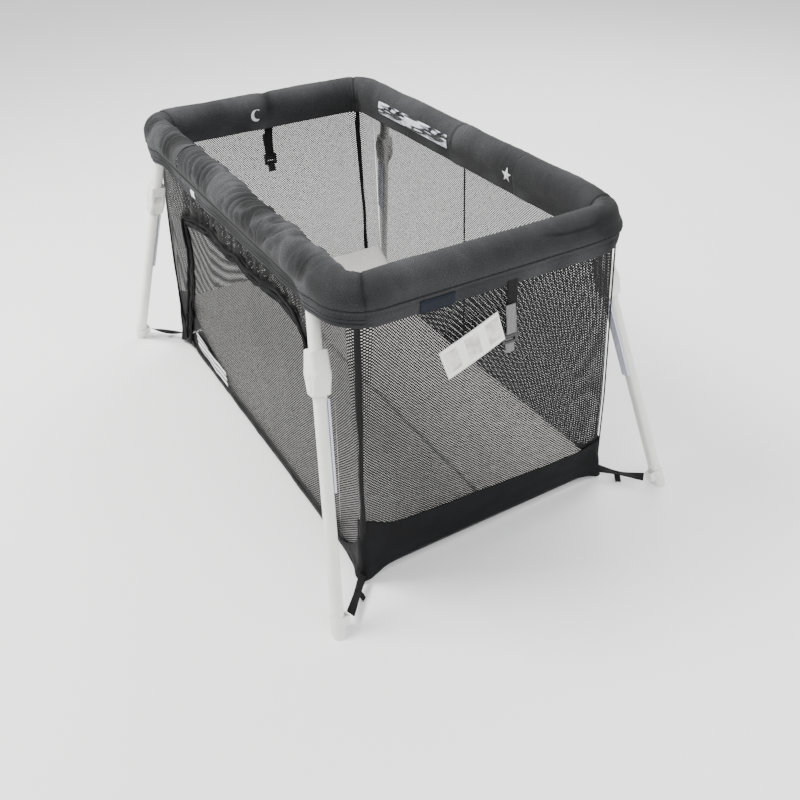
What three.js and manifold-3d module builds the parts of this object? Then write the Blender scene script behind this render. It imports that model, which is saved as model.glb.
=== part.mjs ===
// Travel play yard: padded rectangular top rail, four splayed folding legs, mesh tub and mattress.
// Units are millimetres, +Z is up, X runs along the length.
// The origin is on the floor, under the middle of the play yard.

import * as THREE from "three";
import { mergeVertices } from "three/addons/utils/BufferGeometryUtils.js";
import Module from "manifold-3d";

const wasm = await Module();
wasm.setup();

// ---- driving dimensions ----
const RAIL_Z = 624; // height of the rail tubes' centreline
const RAIL_X = 507; // end rail centreline
const RAIL_Y = 290; // long rail centreline
const RAIL_R = 11; // rail tube radius
const RAIL_BEND = 50; // bend radius of the end rails' corners
const PIVOT_X = 440; // corner pivots, where the long rails fold
const MID_PIN_Y = 305; // mid hinge pins, on the outer side of the long rails
const FRONT_TILT = 12; // degrees the front fold axes lean inwards, so front passes under back
const PAD_R = 32; // outer radius of the rail padding
const HEM_DROP = 49; // how far the padding's hem hangs below the centreline

const LEG_X = 400; // where a leg leaves its rail
const LEG_Y = 303;
const LEG_SPLAY = 20; // degrees along the length
const LEG_LEAN = 9.5; // degrees across the width
const LEG_B = 27; // leg tube depth along the splay
const LEG_N = 21; // leg tube depth across
const KNEE_T = 172; // distance down the leg to the knee pivot
const HUB_TOP = 44;
const HUB_LOW = 40;
const HUB_END_B = 15; // half width of the hub at its two ends
const HUB_SIDE_R = 24; // the hub's rounded sides, about the knee pivot
const HUB_N = 17.5; // half depth across
const HUB_ROUND = 5; // rounding of the hub's outer edges
const SLOT_N = 9.6;
const KNUCKLE_R = 18.5;
const STRIP_END = 220; // how far below the knee the channel strip ends
const BUTTON_A = 24; // how far below the knee the release button sits
const BUTTON_R = 6.5;

const WALL_TOP_X = 527;
const WALL_TOP_Y = 286;
const WALL_LOW_X = 537;
const WALL_LOW_Y = 302;
const WALL_TOP_Z = 574.5;
const WALL_LOW_Z = 16;
const CLOTH = 1.5; // thickness of the mesh walls
const FLOOR_Z = 14;
const FLOOR_T = 6;
const MATTRESS_X = 1056;
const MATTRESS_Y = 590;
const MATTRESS_T = 38;
const MATTRESS_RISE = Math.PI / 6; // tilt of the propped panel
const STRAP_Y = 19; // middle of the pack strap on each end
const GAP = 0.3;

// ---- materials ----
const paint = (color, roughness, metalness = 0) =>
  new THREE.MeshStandardMaterial({ color, roughness, metalness });
const legPaint = paint(0xe9e8e4, 0.35);
const hubPlastic = paint(0xebeae6, 0.4);
const stripPlastic = paint(0xc8cbdd, 0.35);
const footPlastic = paint(0xe6e5e1, 0.5);
const railMetal = paint(0xb4b6b8, 0.35, 0.8);
const padCloth = paint(0x4b4d50, 0.95);
const meshCloth = paint(0x17181a, 0.9);
const floorCloth = paint(0x101113, 0.9);
const webbing = paint(0x0f1012, 0.85);
const bucklePlastic = paint(0x141416, 0.4);
const mattressCloth = paint(0xcdcbc4, 0.9);
const buttonPlastic = paint(0xb9bcc4, 0.45);
const cardPaper = paint(0xf0efec, 0.8);

const group = new THREE.Group();
group.name = "travel_play_yard";

// ---- solid helpers ----
function solid(geometry) {
  const plain = geometry.clone();
  plain.deleteAttribute("normal");
  plain.deleteAttribute("uv");
  const merged = mergeVertices(plain, 1e-4);
  return new wasm.Manifold(
    new wasm.Mesh({
      numProp: 3,
      vertProperties: new Float32Array(merged.attributes.position.array),
      triVerts: new Uint32Array(merged.index.array),
    }),
  );
}

function geometryOf(manifold) {
  const mesh = manifold.getMesh();
  const indexed = new THREE.BufferGeometry();
  indexed.setAttribute("position", new THREE.BufferAttribute(new Float32Array(mesh.vertProperties), 3));
  indexed.setIndex(new THREE.BufferAttribute(new Uint32Array(mesh.triVerts), 1));
  const flat = indexed.toNonIndexed();
  flat.computeVertexNormals();
  return flat;
}

function moved(geometry, x, y, z) {
  return geometry.translate(x, y, z);
}

function box(low, high) {
  const size = high.map((value, k) => value - low[k]);
  const middle = high.map((value, k) => (value + low[k]) / 2);
  return solid(moved(new THREE.BoxGeometry(...size), ...middle));
}

function cylinder(axis, centre, radius, length, segments = 32) {
  const shape = new THREE.CylinderGeometry(radius, radius, length, segments);
  if (axis === "x") shape.rotateZ(Math.PI / 2);
  if (axis === "z") shape.rotateX(Math.PI / 2);
  return solid(moved(shape, ...centre));
}

function union(parts) {
  return parts.reduce((sum, part) => sum.add(part));
}

// A flat slab from four corners, thickened by a vector.
function slab(corners, thick) {
  const all = [...corners, ...corners.map((p) => p.map((v, k) => v + thick[k]))];
  const faces = [
    [0, 1, 2], [0, 2, 3], [4, 6, 5], [4, 7, 6],
    [0, 5, 1], [0, 4, 5], [1, 6, 2], [1, 5, 6],
    [2, 7, 3], [2, 6, 7], [3, 4, 0], [3, 7, 4],
  ];
  const build = (list) => {
    const geometry = new THREE.BufferGeometry();
    geometry.setAttribute("position", new THREE.BufferAttribute(new Float32Array(all.flat()), 3));
    geometry.setIndex(list.flat());
    return solid(geometry);
  };
  const first = build(faces);
  return first.volume() > 0 ? first : build(faces.map(([a, b, c]) => [a, c, b]));
}

function extruded(points, depth, options = {}) {
  const shape = new THREE.Shape(points.map(([x, y]) => new THREE.Vector2(x, y)));
  return new THREE.ExtrudeGeometry(shape, { depth, bevelEnabled: false, steps: 1, ...options });
}

function ovalPoints(halfX, halfY, corner, grow = 0) {
  const points = [];
  const hx = halfX - corner;
  const hy = halfY - corner;
  for (const [cx, cy, start] of [[hx, hy, 0], [-hx, hy, 90], [-hx, -hy, 180], [hx, -hy, 270]]) {
    for (let k = 0; k <= 5; k += 1) {
      const angle = ((start + k * 18) * Math.PI) / 180;
      points.push([cx + (corner + grow) * Math.cos(angle), cy + (corner + grow) * Math.sin(angle)]);
    }
  }
  return points;
}

// ---- placing: parts are drawn at the +X +Y corner, then mirrored into place ----
function placed(manifold, sideX, sideY) {
  return manifold.scale([sideX, sideY, 1]);
}

function addNode(name, manifold, material) {
  const mesh = new THREE.Mesh(geometryOf(manifold), material);
  mesh.name = name;
  group.add(mesh);
}

// Leans a fold hinge about the rail's own centreline.
function leaned(manifold, tilt) {
  return manifold
    .translate([0, -RAIL_Y, -RAIL_Z])
    .rotate([tilt, 0, 0])
    .translate([0, RAIL_Y, RAIL_Z]);
}

// Turns leg coordinates (b along the splay, n across, a down the leg from the knee) into place.
const rad = Math.PI / 180;
const downPlane = new THREE.Vector3(0, Math.sin(LEG_LEAN * rad), -Math.cos(LEG_LEAN * rad));
const axisA = new THREE.Vector3(Math.sin(LEG_SPLAY * rad), 0, 0)
  .addScaledVector(downPlane, Math.cos(LEG_SPLAY * rad));
const axisB = new THREE.Vector3(Math.cos(LEG_SPLAY * rad), 0, 0)
  .addScaledVector(downPlane, -Math.sin(LEG_SPLAY * rad));
const axisN = new THREE.Vector3().crossVectors(axisA, axisB);
const knee = new THREE.Vector3(LEG_X, LEG_Y, RAIL_Z).addScaledVector(axisA, KNEE_T);
const legMatrix = new THREE.Matrix4().makeBasis(axisB, axisN, axisA).setPosition(knee);

function onLeg(manifold) {
  return manifold.transform(legMatrix.elements);
}

const legEnd = knee.z / -axisA.z; // distance from the knee to the floor

// ---- rails ----
function cornerClevis(tilt) {
  const plate = (z) => union([
    cylinder("z", [PIVOT_X, RAIL_Y, z], 10, 5.6),
    box([PIVOT_X, RAIL_Y - 10, z - 2.8], [PIVOT_X + 24, RAIL_Y + 10, z + 2.8]),
  ]);
  const pin = cylinder("z", [PIVOT_X, RAIL_Y, RAIL_Z], 4, 20, 24);
  const end = cylinder("x", [PIVOT_X + 17, RAIL_Y, RAIL_Z], RAIL_R, 10);
  return leaned(union([plate(RAIL_Z + 7.7), plate(RAIL_Z - 7.7), pin, end]), tilt);
}

class RailPath extends THREE.Curve {
  getPoint(t) {
    const lead = RAIL_X - RAIL_BEND - (PIVOT_X + this.start);
    const arc = (Math.PI / 2) * RAIL_BEND;
    const side = 2 * (RAIL_Y - RAIL_BEND);
    const total = 2 * lead + 2 * arc + side;
    const half = t <= 0.5 ? t * total : (1 - t) * total;
    const sign = t <= 0.5 ? -1 : 1;
    let x = RAIL_X;
    let y = RAIL_Y - RAIL_BEND - (half - lead - arc);
    if (half < lead) {
      x = PIVOT_X + this.start + half;
      y = RAIL_Y;
    } else if (half < lead + arc) {
      const angle = (half - lead) / RAIL_BEND;
      x = RAIL_X - RAIL_BEND + RAIL_BEND * Math.sin(angle);
      y = RAIL_Y - RAIL_BEND + RAIL_BEND * Math.cos(angle);
    }
    return new THREE.Vector3(x, sign * y, RAIL_Z);
  }
}

function alongEnd(points, start, steps) {
  const path = new RailPath();
  path.start = start;
  const shape = new THREE.Shape(points.map(([across, up]) => new THREE.Vector2(-up, across)));
  return solid(new THREE.ExtrudeGeometry(shape, { steps, extrudePath: path, bevelEnabled: false }));
}

function circlePoints(radius, count) {
  return Array.from({ length: count }, (_, k) => [
    radius * Math.cos((2 * Math.PI * k) / count),
    radius * Math.sin((2 * Math.PI * k) / count),
  ]);
}

function endRail(frontTilt) {
  const tube = alongEnd(circlePoints(RAIL_R, 20), 12, 60);
  return union([tube, placed(cornerClevis(frontTilt), 1, -1), cornerClevis(0)]);
}

function halfRail(tilt, hasMiddleKnuckle) {
  const tongue = union([
    cylinder("z", [PIVOT_X, RAIL_Y, RAIL_Z], 10, 9),
    box([PIVOT_X - 26, RAIL_Y - 10, RAIL_Z - 4.5], [PIVOT_X, RAIL_Y + 10, RAIL_Z + 4.5]),
  ]).subtract(cylinder("z", [PIVOT_X, RAIL_Y, RAIL_Z], 4.1, 12, 24));
  const tube = cylinder("x", [(24 + PIVOT_X - 22) / 2, RAIL_Y, RAIL_Z], RAIL_R, PIVOT_X - 46);
  const block = box([7.5, RAIL_Y - 13, RAIL_Z - 14], [34, RAIL_Y + 16, RAIL_Z + 14]);
  const knuckle = (low, high) => union([
    cylinder("z", [0, MID_PIN_Y, RAIL_Z + (low + high) / 2], 6, high - low, 24),
    box([0, MID_PIN_Y - 6, RAIL_Z + low], [9, RAIL_Y + 16, RAIL_Z + high]),
  ]);
  const pin = cylinder("z", [0, MID_PIN_Y, RAIL_Z], 3, 28, 20);
  const bore = cylinder("z", [0, MID_PIN_Y, RAIL_Z], 3.1, 34, 20);
  const knuckles = hasMiddleKnuckle
    ? knuckle(-4.5, 4.5).subtract(bore)
    : union([knuckle(4.8, 14), knuckle(-14, -4.8), pin]);
  let rail = union([tongue, tube, block, knuckles]);
  if (hasMiddleKnuckle) {
    rail = rail.subtract(cylinder("z", [20, RAIL_Y, RAIL_Z - 11], 6.4, 7));
  }
  return leaned(rail, tilt);
}

function latchButton(tilt) {
  return leaned(cylinder("z", [20, RAIL_Y, RAIL_Z - 15.5], 6, 9), tilt);
}

// ---- padding ----
function padProfile() {
  const top = [];
  for (let k = 0; k <= 12; k += 1) {
    const angle = (Math.PI * k) / 12;
    top.push([PAD_R * Math.cos(angle), PAD_R * Math.sin(angle)]);
  }
  return [
    [PAD_R, -HEM_DROP], ...top, [-PAD_R, -HEM_DROP], [-PAD_R + 2, -HEM_DROP],
    [-PAD_R + 2, -24], [-17, -24], [-17, 14], [17, 14], [17, -24],
    [PAD_R - 2, -24], [PAD_R - 2, -HEM_DROP],
  ];
}

function endPad() {
  return alongEnd(padProfile(), GAP, 48);
}

function halfPad() {
  const long = solid(
    moved(
      extruded(padProfile(), PIVOT_X - 0.8).rotateX(Math.PI / 2).rotateZ(Math.PI / 2),
      0.4,
      RAIL_Y,
      RAIL_Z,
    ),
  );
  const hinge = box([-1, RAIL_Y - 21, RAIL_Z - 25], [38, RAIL_Y + 25, RAIL_Z + 18]);
  const collar = box([376, RAIL_Y - 19, RAIL_Z - 25], [424, RAIL_Y + 19.5, RAIL_Z + 19]);
  const leg = box([378, RAIL_Y - 10, RAIL_Z - 60], [442, RAIL_Y + 50, RAIL_Z + 5]);
  return long.subtract(hinge).subtract(collar).subtract(leg);
}

// ---- legs, drawn in leg coordinates: x along the splay, y across, z down the leg from the knee ----
function legTube(low, high, grow = 0) {
  return solid(moved(extruded(ovalPoints(LEG_B / 2, LEG_N / 2, 9, grow), high - low), 0, 0, low));
}

function upperLeg() {
  const collar = cylinder("x", [LEG_X, RAIL_Y, RAIL_Z], 17, 44);
  const tube = onLeg(legTube(-KNEE_T + 4, -HUB_TOP + 23));
  const bore = cylinder("x", [LEG_X, RAIL_Y, RAIL_Z], RAIL_R + GAP, 120);
  return union([collar, tube]).subtract(bore);
}

function arcPoints(radius, from, to, steps) {
  return Array.from({ length: steps + 1 }, (_, k) => {
    const angle = from + ((to - from) * k) / steps;
    return [radius * Math.cos(angle), radius * Math.sin(angle)];
  });
}

function hubOutline() {
  const side = 30 * rad;
  const foot = Math.acos(HUB_END_B / HUB_LOW);
  return [
    ...arcPoints(HUB_SIDE_R, side, -side, 4),
    [HUB_END_B, -HUB_TOP],
    [-HUB_END_B, -HUB_TOP],
    ...arcPoints(HUB_SIDE_R, Math.PI + side, Math.PI - side, 4),
    ...arcPoints(HUB_LOW, Math.PI - foot, foot, 6),
  ];
}

// The slot is open towards the inside, where the lower leg folds, and closed on the outside.
function hub() {
  const outline = new THREE.Shape(hubOutline().map(([b, a]) => new THREE.Vector2(b, -a)));
  const plate = new THREE.ExtrudeGeometry(outline, {
    depth: 2 * (HUB_N - HUB_ROUND),
    steps: 1,
    bevelEnabled: true,
    bevelSize: HUB_ROUND,
    bevelOffset: -HUB_ROUND,
    bevelThickness: HUB_ROUND,
    bevelSegments: 3,
  });
  const body = solid(plate.translate(0, 0, HUB_ROUND - HUB_N).rotateX(-Math.PI / 2));
  const opening = box([-60, -SLOT_N, -20.5], [12, SLOT_N, 60]);
  const slot = opening.add(cylinder("y", [0, 0, 0], KNUCKLE_R + 0.8, 2 * SLOT_N, 40));
  const socket = legTube(-HUB_TOP - 5, -20.2, GAP);
  const pin = cylinder("y", [0, 0, 0], 4, 2 * HUB_N - 1, 24);
  const seat = cylinder("y", [0, -HUB_N, BUTTON_A], BUTTON_R + GAP, 12);
  const disc = cylinder("y", [0, -HUB_N, 0], 14.8, 4, 40);
  const ring = cylinder("y", [0, -HUB_N, 0], 16, 2, 40).subtract(disc);
  return onLeg(body.subtract(union([slot, socket, seat, ring])).add(pin));
}

function kneeButton() {
  return onLeg(cylinder("y", [0, -HUB_N + 0.8, BUTTON_A], BUTTON_R, 4));
}

function lowerLeg() {
  const knuckle = cylinder("y", [0, 0, 0], KNUCKLE_R, 2 * (SLOT_N - GAP), 40);
  const tongue = box([-11, GAP - SLOT_N, 0], [11, SLOT_N - GAP, HUB_LOW + 6]);
  const tube = legTube(HUB_LOW + 2, legEnd - 12);
  const bore = cylinder("y", [0, 0, 0], 4.1, 40, 24);
  return onLeg(union([knuckle, tongue, tube]).subtract(bore));
}

function footCap() {
  const sleeve = legTube(legEnd - 38, legEnd + 20, 2.5);
  const side = LEG_N / 2;
  const lip = box([-10, side + 1, legEnd - 36], [10, side + 11, legEnd - 16]);
  const slit = box([-7, side + 4, legEnd - 37], [7, side + 7.5, legEnd - 21]);
  const bore = legTube(legEnd - 40, legEnd - 11.7, GAP);
  const aboveFloor = box([0, 0, 0], [900, 900, 200]);
  return onLeg(union([sleeve, lip]).subtract(slit).subtract(bore)).intersect(aboveFloor);
}

function channelStrip() {
  const face = LEG_N / 2 + GAP;
  const strip = box([-10, face, HUB_LOW + 6], [10, face + 4, STRIP_END]);
  const groove = (b) => box([b - 1, face + 2.4, HUB_LOW], [b + 1, face + 5, STRIP_END + 5]);
  const screw = cylinder("y", [0, face + 2.5, HUB_LOW + 24], 4, 4.2, 20);
  return onLeg(strip.subtract(union([-5.5, 0, 5.5].map(groove))).add(screw));
}

// ---- cloth ----
function sideWall(lowX, highTopX, highLowX) {
  const corners = [
    [lowX, WALL_TOP_Y, WALL_TOP_Z],
    [highTopX, WALL_TOP_Y, WALL_TOP_Z],
    [highLowX, WALL_LOW_Y, WALL_LOW_Z],
    [lowX, WALL_LOW_Y, WALL_LOW_Z],
  ];
  return slab(corners, [0, CLOTH, 0]);
}

function endWall() {
  const corners = [
    [WALL_TOP_X, -WALL_TOP_Y, WALL_TOP_Z],
    [WALL_TOP_X, WALL_TOP_Y, WALL_TOP_Z],
    [WALL_LOW_X, WALL_LOW_Y, WALL_LOW_Z],
    [WALL_LOW_X, -WALL_LOW_Y, WALL_LOW_Z],
  ];
  return slab(corners, [CLOTH, 0, 0]);
}

function footStrap() {
  const corners = [
    [WALL_LOW_X + 4, WALL_LOW_Y + 4, 12],
    [618, 377.5, 12],
    [618, 377.5, 28],
    [WALL_LOW_X + 4, WALL_LOW_Y + 4, 28],
  ];
  return slab(corners, [-1, 1.1, 0]);
}

function tubFloor() {
  const x = WALL_LOW_X - 3;
  const y = WALL_LOW_Y - 2;
  return box([-x, -y, FLOOR_Z], [x, y, FLOOR_Z + FLOOR_T]);
}

function mattressPanel(length) {
  return extruded(ovalPoints(length / 2 - 4, MATTRESS_Y / 2 - 4, 20), MATTRESS_T - 8, {
    bevelEnabled: true,
    bevelSize: 4,
    bevelThickness: 4,
    bevelSegments: 2,
  });
}

// Four panels: three lie flat, and the one at the left end is propped up on its crease.
function mattress() {
  const low = FLOOR_Z + FLOOR_T + GAP;
  const panel = MATTRESS_X / 4;
  const flat = moved(mattressPanel(3 * panel), panel / 2, 0, low + 4);
  const propped = moved(mattressPanel(panel), -panel / 2, 0, 4).rotateY(MATTRESS_RISE);
  const top = low + MATTRESS_T;
  const crease = (x) => box([x - 1.5, -400, top - 8], [x + 1.5, 400, top + 5]);
  return union([solid(flat), solid(moved(propped, -panel, 0, low))]).subtract(union([0, panel].map(crease)));
}

function packStrap() {
  const x = WALL_LOW_X + 4;
  return box([x, STRAP_Y - 12.5, 486], [x + CLOTH, STRAP_Y + 12.5, 572]);
}

function buckle() {
  const x = WALL_LOW_X + 2;
  const frame = box([x, STRAP_Y - 16.5, 458], [x + 8, STRAP_Y + 16.5, 485]);
  const window = (low, high) => box([x - 1, STRAP_Y - 11.5, low], [x + 9, STRAP_Y + 11.5, high]);
  return frame.subtract(window(476, 481)).subtract(window(463, 470));
}

function hangTag() {
  const x = WALL_LOW_X + 14;
  const corners = [[x, -142, 495], [x, -17, 538], [x, 6, 474], [x, -119, 431]];
  return slab(corners, [0.8, 0, 0]);
}

// ---- assembly ----
const ends = [["right_end", 1], ["left_end", -1]];
const sides = [["front", -1, FRONT_TILT], ["back", 1, 0]];

for (const [end, sideX] of ends) {
  addNode(`${end}_rail`, placed(endRail(FRONT_TILT), sideX, 1), railMetal);
  addNode(`${end}_pad`, placed(endPad(), sideX, 1), padCloth);
  addNode(`${end}_wall`, placed(endWall(), sideX, 1), meshCloth);
  addNode(`${end}_pack_strap`, placed(packStrap(), sideX, 1), webbing);
  addNode(`${end}_buckle`, placed(buckle(), sideX, 1), bucklePlastic);
}

for (const [side, sideY, tilt] of sides) {
  for (const [end, sideX] of [["right", 1], ["left", -1]]) {
    const add = (part, manifold, material) =>
      addNode(`${side}_${end}_${part}`, placed(manifold, sideX, sideY), material);
    add("rail", halfRail(tilt, sideX > 0), railMetal);
    add("pad", halfPad(), padCloth);
    add("wall", sideWall(0.4, PIVOT_X - 0.4, PIVOT_X - 0.4), meshCloth);
    add("gusset", sideWall(PIVOT_X + 0.4, WALL_TOP_X - 1, WALL_LOW_X - 1), meshCloth);
    add("upper_leg", upperLeg(), legPaint);
    add("hub", hub(), hubPlastic);
    add("knee_button", kneeButton(), hubPlastic);
    add("lower_leg", lowerLeg(), legPaint);
    add("foot_cap", footCap(), footPlastic);
    add("channel_strip", channelStrip(), stripPlastic);
    add("foot_strap", footStrap(), webbing);
  }
  addNode(`${side}_latch_button`, placed(latchButton(tilt), 1, sideY), buttonPlastic);
}

addNode("tub_floor", tubFloor(), floorCloth);
addNode("mattress", mattress(), mattressCloth);
addNode("hang_tag", hangTag(), cardPaper);

export default group;
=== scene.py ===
"""Looks of the travel play yard: rim cover, mesh tub, mattress, straps and finishes."""
import math

import bpy
import numpy as np
from mathutils import Matrix, Vector


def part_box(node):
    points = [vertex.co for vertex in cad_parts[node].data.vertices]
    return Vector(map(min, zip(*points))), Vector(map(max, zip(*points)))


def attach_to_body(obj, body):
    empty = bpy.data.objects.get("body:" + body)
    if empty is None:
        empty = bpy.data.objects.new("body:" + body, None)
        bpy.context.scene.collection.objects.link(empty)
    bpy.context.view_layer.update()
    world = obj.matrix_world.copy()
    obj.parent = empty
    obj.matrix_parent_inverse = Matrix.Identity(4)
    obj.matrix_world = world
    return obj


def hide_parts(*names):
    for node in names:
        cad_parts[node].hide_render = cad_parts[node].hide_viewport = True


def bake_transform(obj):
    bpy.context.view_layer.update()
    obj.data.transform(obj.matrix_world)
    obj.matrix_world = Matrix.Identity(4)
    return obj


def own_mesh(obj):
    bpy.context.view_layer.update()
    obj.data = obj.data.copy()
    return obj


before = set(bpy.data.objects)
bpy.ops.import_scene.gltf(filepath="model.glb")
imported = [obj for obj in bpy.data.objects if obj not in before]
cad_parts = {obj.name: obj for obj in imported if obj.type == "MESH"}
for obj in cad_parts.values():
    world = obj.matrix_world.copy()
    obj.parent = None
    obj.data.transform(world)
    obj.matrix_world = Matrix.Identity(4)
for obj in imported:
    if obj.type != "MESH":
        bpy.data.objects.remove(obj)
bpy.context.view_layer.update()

# ---- sizes in metres; the boxes are read from the frame ----
RAIL_R = 0.011
end_low, end_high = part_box("right_end_rail")
RAIL_X = end_high.x - RAIL_R
RAIL_Y = 0.290
RAIL_Z = 0.624
BEND = 0.050
PIVOT_X = 0.440
LEG_X = 0.416
wall_low, wall_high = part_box("right_end_wall")
TUB_X = wall_high.x
TUB_Y = wall_high.y
TUB_Z = wall_low.z
WALL_TOP_Z = RAIL_Z - 0.040
TOP_X = 0.5265
TOP_Y = 0.2865

LONG = RAIL_X - BEND
SHORT = RAIL_Y - BEND
ARC = BEND * math.pi / 2
LENGTH = 4 * LONG + 4 * SHORT + 4 * ARC

ENDS = (("right", 1), ("left", -1))
SIDES = (("front", -1), ("back", 1))


# ---- camera, first ----
def add_camera():
    data = bpy.data.cameras.new("camera")
    data.sensor_width = 36.0
    data.lens = 38.0
    data.clip_start = 0.01
    data.clip_end = 50
    cam = bpy.data.objects.new("camera", data)
    bpy.context.collection.objects.link(cam)
    azimuth, elevation, roll = map(math.radians, (-29.95, 35.98, -1.18))
    look = Vector((-math.cos(elevation) * math.cos(azimuth),
                   -math.cos(elevation) * math.sin(azimuth),
                   -math.sin(elevation)))
    right = look.cross(Vector((0, 0, 1))).normalized()
    up = right.cross(look)
    right2 = right * math.cos(roll) + up * math.sin(roll)
    up2 = up * math.cos(roll) - right * math.sin(roll)
    turn = Matrix((right2, up2, -look)).transposed()
    cam.matrix_world = Matrix.Translation((1.5836, -0.8136, 1.2878)) @ turn.to_4x4()
    bpy.context.scene.camera = cam


add_camera()


# ---- noise: smooth value noise on a fixed lattice ----
def lattice(seed, size=64):
    return np.random.default_rng(seed).uniform(-1, 1, (size, size))


def noise(u, v, seed=0):
    grid = lattice(seed)
    n = grid.shape[0]
    iu, iv = np.floor(u).astype(int), np.floor(v).astype(int)
    fu, fv = u - iu, v - iv
    fu, fv = fu * fu * (3 - 2 * fu), fv * fv * (3 - 2 * fv)
    a = grid[iu % n, iv % n] * (1 - fu) + grid[(iu + 1) % n, iv % n] * fu
    b = grid[iu % n, (iv + 1) % n] * (1 - fu) + grid[(iu + 1) % n, (iv + 1) % n] * fu
    return a * (1 - fv) + b * fv


def ridge(u, v, seed, power):
    return (1 - np.abs(noise(u, v, seed))) ** power


def bump_at(x, centre, width):
    return np.exp(-(((x - centre) / width) ** 2))


# ---- meshes ----
def smooth_line(points, count, fine=10):
    """Catmull-Rom curve through the points, evenly spaced, and the distance along it."""
    p = np.array(points, float)
    p = np.vstack([2 * p[0] - p[1], p, 2 * p[-1] - p[-2]])
    curve = []
    for a, b, c, d in zip(p, p[1:], p[2:], p[3:]):
        t = np.linspace(0, 1, fine, endpoint=False)[:, None]
        square, cube = 2 * a - 5 * b + 4 * c - d, 3 * b - a - 3 * c + d
        curve.append(0.5 * (2 * b + (c - a) * t + square * t**2 + cube * t**3))
    curve = np.vstack([*curve, p[-2][None]])
    run = np.concatenate([[0], np.cumsum(np.linalg.norm(np.diff(curve, axis=0), axis=1))])
    even = np.linspace(0, run[-1], count)
    return np.stack([np.interp(even, run, column) for column in curve.T], 1), even


def grid_object(name, points, close_u=False, close_v=False, uv=None, caps=False):
    """A sheet or tube from a grid of points, with UVs in metres unless they are given."""
    n, m = points.shape[:2]
    verts = points.reshape(-1, 3)
    faces, corners = [], []
    for i in range(n if close_u else n - 1):
        for j in range(m if close_v else m - 1):
            i2, j2 = (i + 1) % n, (j + 1) % m
            faces.append((i * m + j, i2 * m + j, i2 * m + j2, i * m + j2))
            corners.append(((i, j), (i + 1, j), (i + 1, j + 1), (i, j + 1)))
    uv_faces = len(faces)
    if caps:
        faces.append(tuple(range(m - 1, -1, -1)))
        faces.append(tuple((n - 1) * m + j for j in range(m)))
    mesh = bpy.data.meshes.new(name)
    mesh.from_pydata(verts.tolist(), [], faces)
    if uv is None:
        du = np.linalg.norm(np.diff(points, axis=0), axis=2).mean(axis=1)
        dv = np.linalg.norm(np.diff(points, axis=1), axis=2).mean(axis=0)
        us = np.concatenate([[0], np.cumsum(du), [du.sum() + du.mean()]])
        vs = np.concatenate([[0], np.cumsum(dv), [dv.sum() + dv.mean()]])
        def place(i, j):
            return us[i], vs[j]
    else:
        def place(i, j):
            return uv[i % n, j % m]
    layer = mesh.uv_layers.new(name="UVMap")
    k = 0
    for index, polygon in enumerate(mesh.polygons):
        for c in range(polygon.loop_total):
            if index < uv_faces:
                layer.data[k].uv = place(*corners[index][c])
            k += 1
    for polygon in mesh.polygons:
        polygon.use_smooth = True
    obj = bpy.data.objects.new(name, mesh)
    bpy.context.collection.objects.link(obj)
    return obj


def apply_modifiers(obj):
    dg = bpy.context.evaluated_depsgraph_get()
    mesh = bpy.data.meshes.new_from_object(obj.evaluated_get(dg))
    old = obj.data
    obj.modifiers.clear()
    obj.data = mesh
    bpy.data.meshes.remove(old)
    return obj


def thicken(obj, thickness, offset=0.0):
    m = obj.modifiers.new("thickness", "SOLIDIFY")
    m.thickness = thickness
    m.offset = offset
    return apply_modifiers(obj)


def finish_piece(obj, material):
    obj.data.materials.clear()
    obj.data.materials.append(material)
    return obj


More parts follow.
